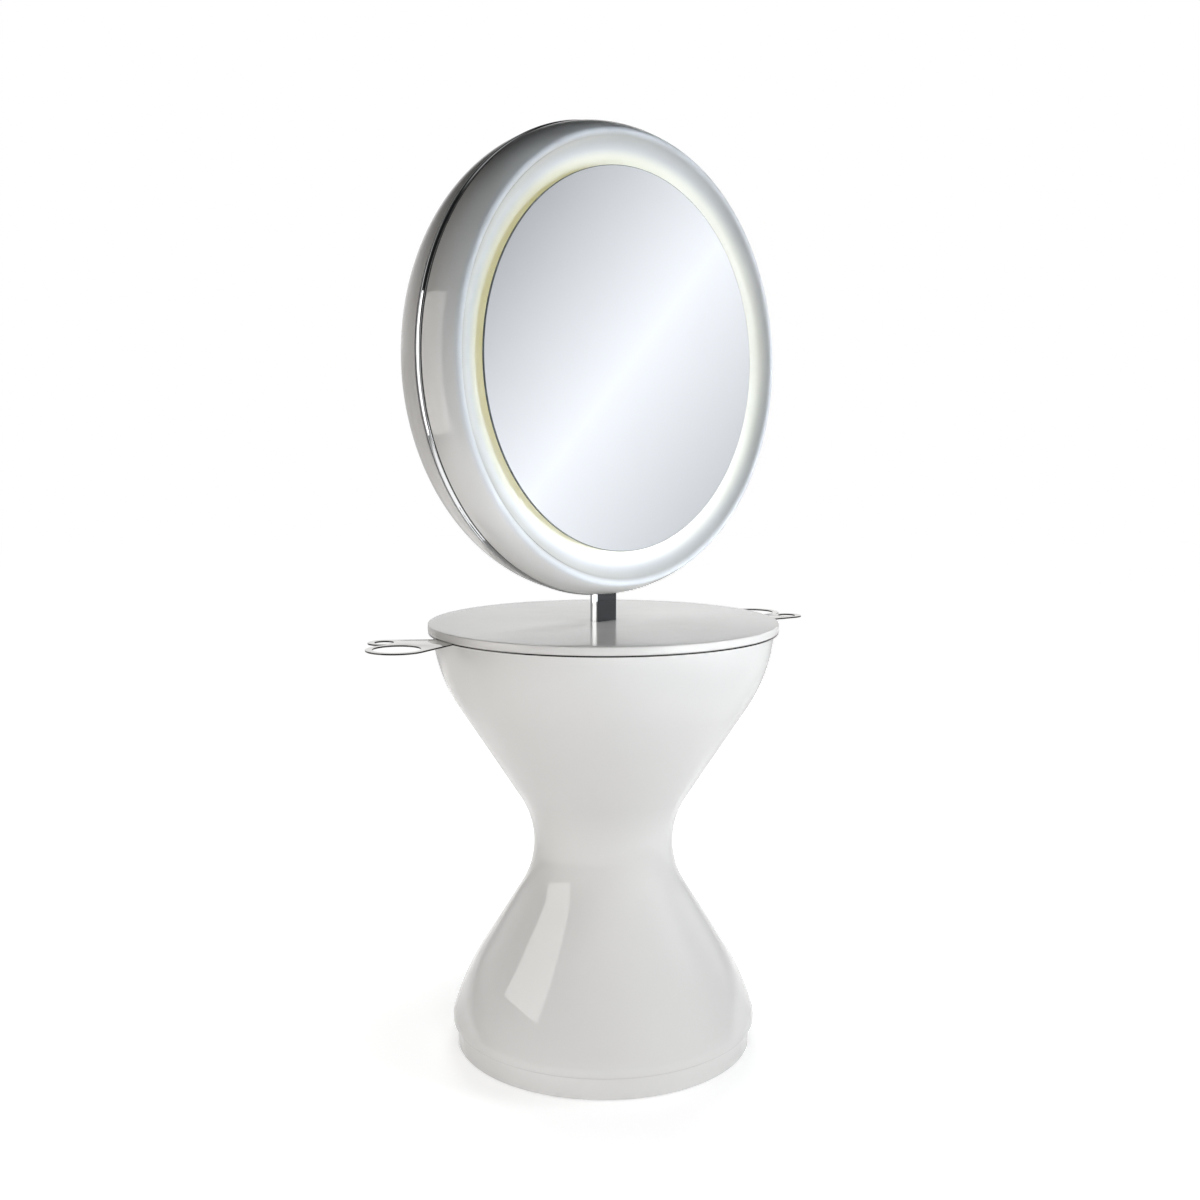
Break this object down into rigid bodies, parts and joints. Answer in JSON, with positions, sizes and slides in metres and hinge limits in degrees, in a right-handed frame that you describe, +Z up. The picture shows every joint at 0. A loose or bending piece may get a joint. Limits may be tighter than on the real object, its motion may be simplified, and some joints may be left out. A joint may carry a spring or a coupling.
{
  "type": "double sided salon station",
  "caption": "Free-standing double sided salon station: hourglass pedestal, round table with tool rings, chrome post and a round lit mirror head glazed on both faces.",
  "frame": {"origin": "on the floor, under the middle of the overall box; the post's axis stands 21.3 mm to the +X side of it, because the two ears reach out unequally", "axes": "+Z up, the mirrors face -Y (front) and +Y (rear), the tool rings stand out along +X and -X"},
  "size_m": [0.9832, 0.7, 1.833],
  "materials": {
    "gloss_white": "smooth gloss white moulding",
    "table_white": "satin white lacquered board",
    "chrome": "bright chrome",
    "polished_steel": "mirror polished stainless sheet",
    "painted_steel": "dark grey powder coat",
    "zinc_steel": "zinc plated",
    "mirror": "silvered glass with a polished edge",
    "fibreboard": "raw fibreboard",
    "lamp": "warm white diffuser",
    "grey_plastic": "moulded grey",
    "foot_rubber": "black rubber"
  },
  "bodies": {
    "station": {"foot_insert_1": "zinc_steel", "foot_insert_2": "zinc_steel", "foot_insert_3": "zinc_steel", "foot_insert_4": "zinc_steel", "base_plate": "painted_steel", "plinth_ring": "gloss_white", "cable_grommet": "foot_rubber", "pedestal_shell": "gloss_white", "column_flange": "painted_steel", "column_bolt_1": "zinc_steel", "column_bolt_2": "zinc_steel", "column_bolt_3": "zinc_steel", "column_bolt_4": "zinc_steel", "column_tube": "painted_steel", "table_support": "painted_steel", "table_screw_1": "zinc_steel", "table_screw_2": "zinc_steel", "table_screw_3": "zinc_steel", "table_screw_4": "zinc_steel", "tool_plate": "polished_steel", "table_top": "table_white", "post_sleeve": "painted_steel", "post_stop": "zinc_steel", "chrome_post": "chrome", "head_bolt_1": "zinc_steel", "head_bolt_2": "zinc_steel", "head_bolt_3": "zinc_steel", "chrome_band": "chrome", "front_shell": "gloss_white", "front_core_plate": "painted_steel", "front_standoff_1": "zinc_steel", "front_standoff_2": "zinc_steel", "front_standoff_3": "zinc_steel", "front_standoff_4": "zinc_steel", "front_backing": "fibreboard", "front_mirror": "mirror", "front_lamp": "lamp", "front_lamp_clip_1": "grey_plastic", "front_lamp_clip_2": "grey_plastic", "front_lamp_clip_3": "grey_plastic", "front_lamp_driver": "grey_plastic", "rear_shell": "gloss_white", "rear_core_plate": "painted_steel", "rear_standoff_1": "zinc_steel", "rear_standoff_2": "zinc_steel", "rear_standoff_3": "zinc_steel", "rear_standoff_4": "zinc_steel", "rear_backing": "fibreboard", "rear_mirror": "mirror", "rear_lamp": "lamp", "rear_lamp_clip_1": "grey_plastic", "rear_lamp_clip_2": "grey_plastic", "rear_lamp_clip_3": "grey_plastic", "rear_lamp_driver": "grey_plastic"},
    "foot_1": {"foot_1": "foot_rubber"},
    "foot_2": {"foot_2": "foot_rubber"},
    "foot_3": {"foot_3": "foot_rubber"},
    "foot_4": {"foot_4": "foot_rubber"}
  },
  "joints": [
    {"name": "foot_1_level", "type": "slide", "parent": "station", "child": "foot_1", "axis": [0, 0, -1], "range_m": [0, 0.008]},
    {"name": "foot_2_level", "type": "slide", "parent": "station", "child": "foot_2", "axis": [0, 0, -1], "range_m": [0, 0.008]},
    {"name": "foot_3_level", "type": "slide", "parent": "station", "child": "foot_3", "axis": [0, 0, -1], "range_m": [0, 0.008]},
    {"name": "foot_4_level", "type": "slide", "parent": "station", "child": "foot_4", "axis": [0, 0, -1], "range_m": [0, 0.008]}
  ]
}
